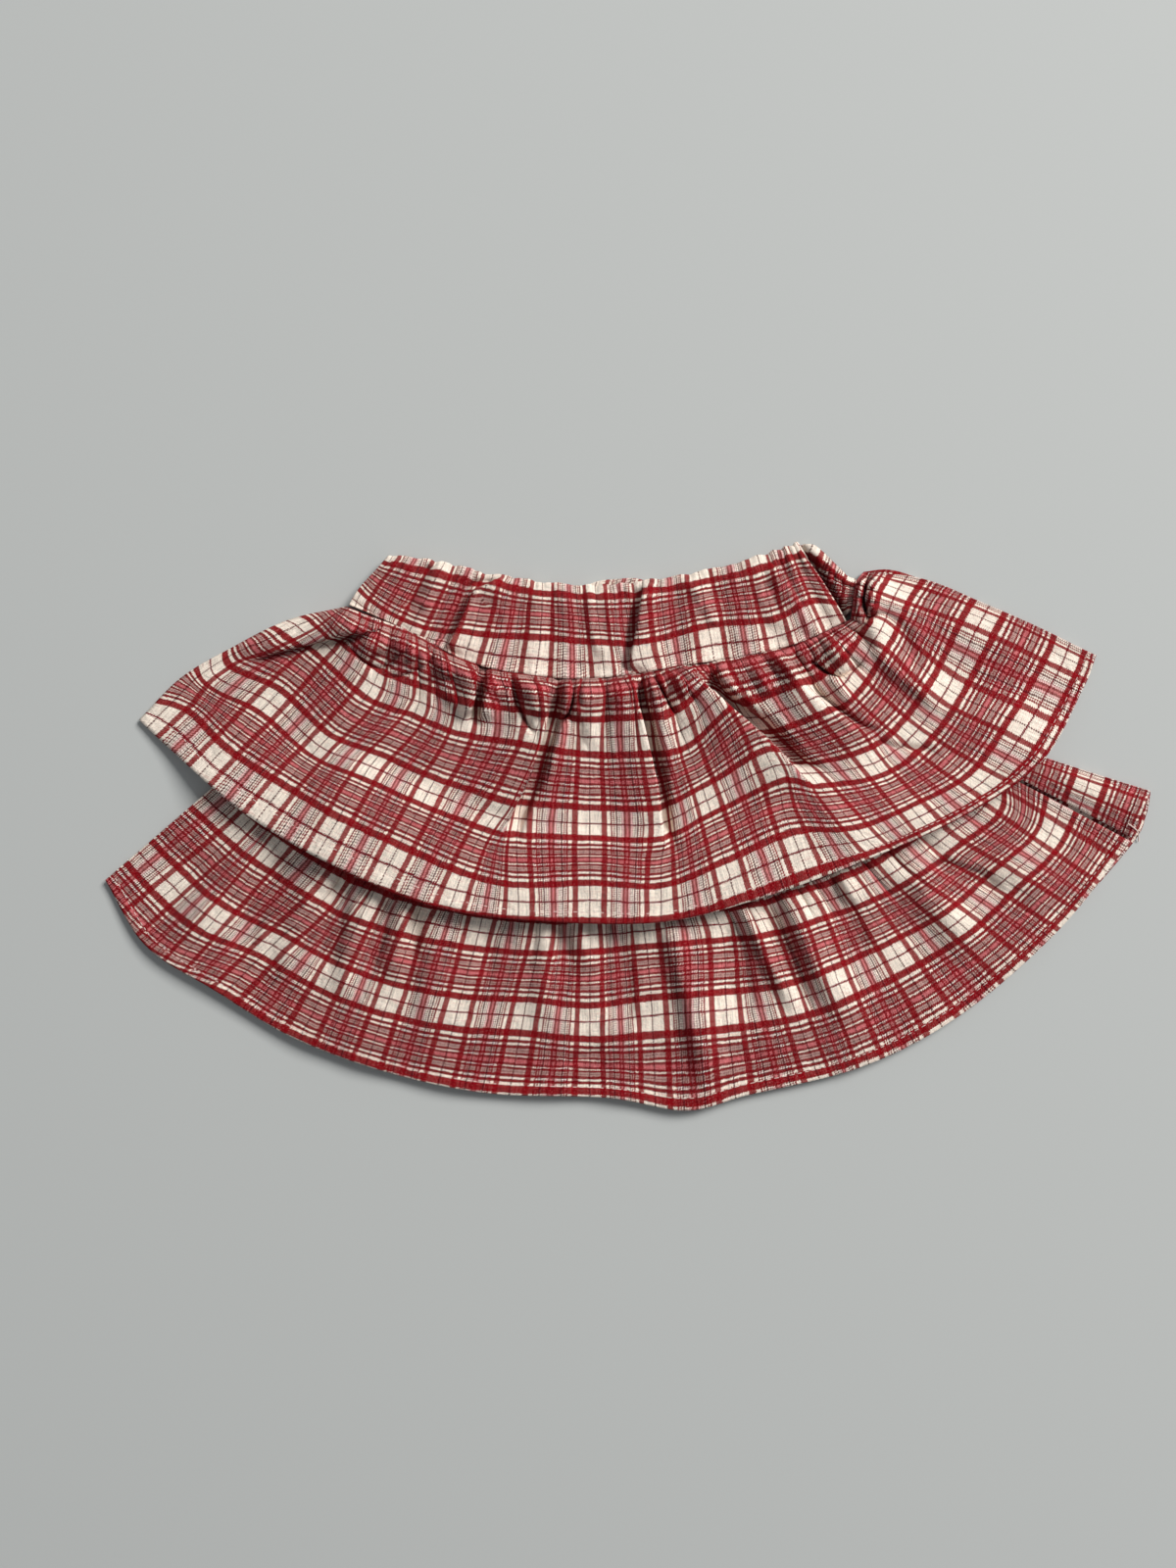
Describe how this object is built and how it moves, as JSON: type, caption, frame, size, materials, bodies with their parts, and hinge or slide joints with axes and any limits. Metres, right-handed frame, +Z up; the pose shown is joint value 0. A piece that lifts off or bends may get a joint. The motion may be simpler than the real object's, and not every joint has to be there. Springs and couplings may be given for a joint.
{
  "type": "skort",
  "caption": "Child's pull-on skort laid flat: a wide elastic waistband, an upper and a lower gathered ruffle in red and cream checked brushed cotton, plain shorts inside.",
  "frame": {"origin": "middle of the skort's outline as it lies, on the floor", "axes": "+X across the skirt, from its left tip to its right tip as seen from above; +Y from the hem to the waistband; +Z up from the floor"},
  "size_m": [0.469, 0.2528, 0.0157],
  "materials": {
    "checked_cotton": "brushed woven check, matt",
    "plain_cotton": "plain woven, matt"
  },
  "bodies": {
    "root": {"waistband_front": "checked_cotton", "waistband_back": "checked_cotton", "upper_tier_front": "checked_cotton", "upper_tier_back": "checked_cotton", "lower_tier_front": "checked_cotton", "lower_tier_back": "checked_cotton", "yoke_front": "checked_cotton", "yoke_back": "checked_cotton", "shorts_front": "plain_cotton", "shorts_back": "plain_cotton"}
  },
  "joints": []
}
